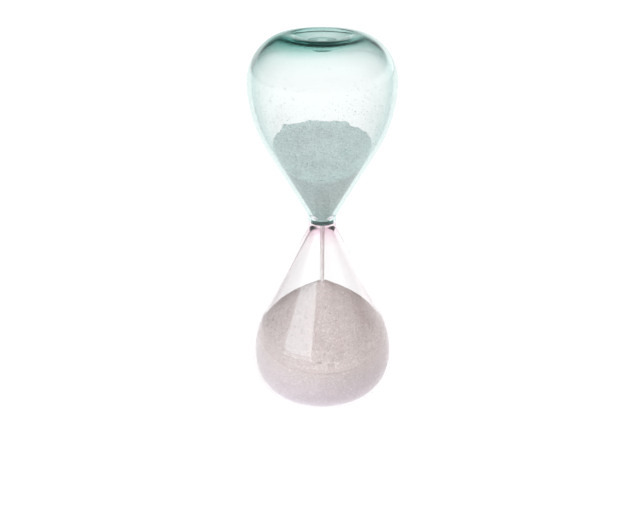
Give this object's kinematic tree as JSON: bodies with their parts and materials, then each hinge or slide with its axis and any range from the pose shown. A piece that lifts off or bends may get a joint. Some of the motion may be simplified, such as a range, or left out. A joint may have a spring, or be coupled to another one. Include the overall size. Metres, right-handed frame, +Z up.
{
  "type": "hourglass",
  "caption": "Frameless blown-glass hourglass: a green bulb over a pink bulb, welded at the neck, with sand running between them; stands on either end.",
  "frame": {"origin": "middle of the flat land that the lower bulb stands on", "axes": "+Z up along the axis of the two bulbs; -Y towards the front, where the upper sand's surface is lowest"},
  "size_m": [0.057, 0.057, 0.145],
  "materials": {
    "green_glass": "clear, polished by the flame",
    "pink_glass": "clear, polished by the flame",
    "sand": "fine matt grains"
  },
  "bodies": {
    "root": {"upper_bulb": "green_glass", "lower_bulb": "pink_glass", "orifice_ring": "green_glass", "fill_seal": "green_glass", "upper_sand": "sand", "sand_stream": "sand", "lower_sand": "sand"}
  },
  "joints": []
}
